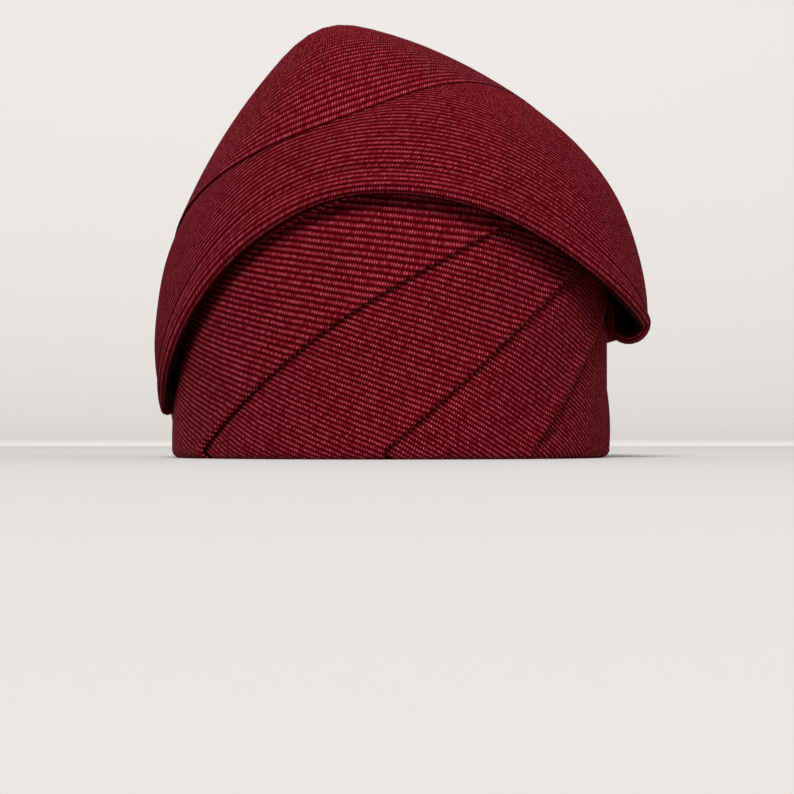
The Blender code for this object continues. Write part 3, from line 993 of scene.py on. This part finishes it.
class TOQUE_OT_sweep(bpy.types.Operator):
    """Ribbed cloth for the lower drape, with its rolled front edge"""

    bl_idname = "toque.sweep"
    bl_label = "Crown sweep"

    def execute(self, context):
        sizes, colours = context.scene.toque_sizes, context.scene.toque_colours
        places = drape_places(SWEEP_COLUMNS)
        shares = np.linspace(0.0, PLEAT_SHARE + SWEEP_TUCK, BASE_ROWS)
        left = np.interp(places, FOLD_FADE["place"], FOLD_FADE["left"])
        sunk = STEP * ease((shares - (PLEAT_SHARE - SWEEP_DIP)) / SWEEP_DIP)[:, None] * left
        base = drape_grid(shares, sunk, SWEEP_COLUMNS)
        spacing = sizes.drape_pitch / SWEEP_ROWS
        roll = front_roll(base, places, spacing)
        fold_row = int(np.searchsorted(shares, PLEAT_SHARE))
        grid, normal, distance, full = even_rows(base, grid_normals(base), spacing, fold_row)
        distance = np.concatenate([-spacing * np.arange(len(roll), 0, -1), distance])
        normal = np.concatenate([grid_normals(np.concatenate([roll, base]))[: len(roll)], normal])
        swell = front_swell(distance, sizes.roll_swell)
        grid = np.concatenate([roll, grid]) + normal * swell[:, None, None]
        ribs = distance / sizes.drape_pitch
        depth = sizes.drape_depth * np.concatenate([np.ones(roll.shape[:2]), full])
        sheets = ribbed(grid, normal, ribs, depth, CLOTH)
        # The cloth rolled under the front edge gets painted shade
        cloth = ribbed_cloth("sweep_cloth", sizes, colours, UNDER_SHADE_FROM)
        piece = closed_sheet("ribbed_sweep", *sheets, cloth)
        cut = np.concatenate([roll, base])
        dress(piece, "crown_sweep", cut)
        return {"FINISHED"}


class TOQUE_OT_peak(bpy.types.Operator):
    """Ribbed cloth for the upper drape, from its fold over the peak and down the back"""

    bl_idname = "toque.peak"
    bl_label = "Crown peak"

    def execute(self, context):
        sizes, colours = context.scene.toque_sizes, context.scene.toque_colours
        places = drape_places(PEAK_COLUMNS)
        shares = rib_rows(PLEAT_SHARE, LAST_ARCH, sizes.peak_pitch, PEAK_ROWS)
        grid = drape_grid(shares, np.zeros((len(shares), len(places))), PEAK_COLUMNS)
        normal = grid_normals(grid)
        step = np.linalg.norm(np.gradient(grid, axis=0), axis=-1)
        ribs = np.arange(len(grid)) / PEAK_ROWS + CREST
        crowding = np.clip(step * PEAK_ROWS / sizes.peak_pitch, *CROWDING)
        gone = np.cumsum(step, 0) - step[0]
        left = np.interp(places, FOLD_FADE["place"], FOLD_FADE["left"])
        thickness = CLOTH * (left + (1 - left) * ease(gone / FOLD_BLEND))
        depth = np.minimum(sizes.peak_depth * crowding, DEEPEST * thickness)
        outer, inner, outer_marks, inner_marks = ribbed(grid, normal, ribs, depth, thickness)
        nose, nose_inner = rounded_fold(grid, normal, thickness[0])
        lead = np.linspace(*FOLD_RIBS, len(nose))[:, None, None] * np.array([0.0, 1.0])
        sheets = (
            np.concatenate([nose, outer]), np.concatenate([nose_inner, inner]),
            np.concatenate([outer_marks[:1] + lead, outer_marks]),
            np.concatenate([inner_marks[:1] + lead, inner_marks]),
        )
        cloth = ribbed_cloth("peak_cloth", sizes, colours)
        piece = closed_sheet("ribbed_peak", *sheets, cloth)
        dress(piece, "crown_peak", grid)
        return {"FINISHED"}


def add_light(name, place, target, width, power):
    """A square soft light that looks at a target, and that no camera sees."""
    lamp = bpy.data.lights.new(name, "AREA")
    lamp.shape, lamp.size, lamp.energy = "SQUARE", width, power
    light = bpy.data.objects.new(name, lamp)
    light.location = place
    light.visible_camera = False
    aim = np.array(target) - np.array(place)
    light.rotation_euler = (np.arccos(-aim[2] / np.linalg.norm(aim)), 0.0, np.arctan2(-aim[0], aim[1]))
    bpy.context.scene.collection.objects.link(light)


class TOQUE_OT_stage(bpy.types.Operator):
    """Pale paper floor that curves up behind, soft lights and the camera"""

    bl_idname = "toque.stage"
    bl_label = "Stage"

    def execute(self, context):
        stage, colours = context.scene.toque_stage, context.scene.toque_colours
        turn = np.linspace(0.0, np.pi / 2, PAPER_POINTS)
        rounded = PAPER_BACK + PAPER_BEND * np.sin(turn)
        y = np.concatenate([[PAPER_FRONT], rounded, [PAPER_BACK + PAPER_BEND]])
        z = np.concatenate([[0.0], PAPER_BEND * (1 - np.cos(turn)), [PAPER_TOP]])
        x = np.array([-PAPER_HALF, PAPER_HALF])
        points = np.stack([np.tile(x, len(y)), np.repeat(y, 2), np.repeat(z, 2)], -1)
        left = np.arange(len(y) - 1) * 2
        faces = np.stack([left, left + 1, left + 3, left + 2], -1)
        mesh = bpy.data.meshes.new("paper_sweep")
        mesh.from_pydata(points.tolist(), [], faces.tolist())
        mesh.shade_smooth()
        mesh.materials.append(matt_paper("paper", colours.paper))
        paper = bpy.data.objects.new("paper_sweep", mesh)
        context.scene.collection.objects.link(paper)
        add_light("key", *KEY_LIGHT, stage.key_power)
        add_light("right", *SIDE_LIGHT, stage.side_power)
        add_light("wall", *WALL_LIGHT, stage.wall_power)
        world = bpy.data.worlds.new("studio")
        world.use_nodes = True
        sky = world.node_tree.nodes["Background"]
        sky.inputs["Color"].default_value = SKY_COLOUR
        sky.inputs["Strength"].default_value = stage.sky
        context.scene.world = world
        context.scene.view_settings.view_transform = "Standard"
        camera = bpy.data.objects.new("camera", bpy.data.cameras.new("camera"))
        camera.data.lens = stage.lens
        camera.data.shift_x, camera.data.shift_y = PICTURE_SHIFT
        camera.data.clip_end = FARTHEST_SEEN
        across, along, _ = OPENING_CENTRE
        camera.location = (across, along - stage.camera_distance, stage.camera_height)
        camera.rotation_euler = (np.pi / 2, 0.0, 0.0)
        context.scene.collection.objects.link(camera)
        context.scene.camera = camera
        return {"FINISHED"}


class TOQUE_PT_panel(bpy.types.Panel):
    """Buttons and settings for the toque"""

    bl_idname = "TOQUE_PT_panel"
    bl_label = "Draped toque"
    bl_space_type = "VIEW_3D"
    bl_region_type = "UI"
    bl_category = "Toque"

    def draw(self, context):
        for settings in (context.scene.toque_sizes, context.scene.toque_colours, context.scene.toque_stage):
            for name in settings.__annotations__:
                self.layout.prop(settings, name)
        for operator in OPERATORS:
            self.layout.operator(operator.bl_idname)


OPERATORS = (TOQUE_OT_band, TOQUE_OT_sweep, TOQUE_OT_peak, TOQUE_OT_stage)
GROUPS = {"toque_sizes": ToqueSizes, "toque_colours": ToqueColours, "toque_stage": ToqueStage}


def register():
    for kind in (*GROUPS.values(), *OPERATORS, TOQUE_PT_panel):
        bpy.utils.register_class(kind)
    for name, group in GROUPS.items():
        setattr(bpy.types.Scene, name, PointerProperty(type=group))


def unregister():
    for name in GROUPS:
        delattr(bpy.types.Scene, name)
    for kind in (TOQUE_PT_panel, *reversed(OPERATORS), *reversed(GROUPS.values())):
        bpy.utils.unregister_class(kind)


def main():
    """Makes every piece and the stage."""
    register()
    bpy.ops.toque.band()
    bpy.ops.toque.sweep()
    bpy.ops.toque.peak()
    bpy.ops.toque.stage()


if __name__ == "__main__":
    main()
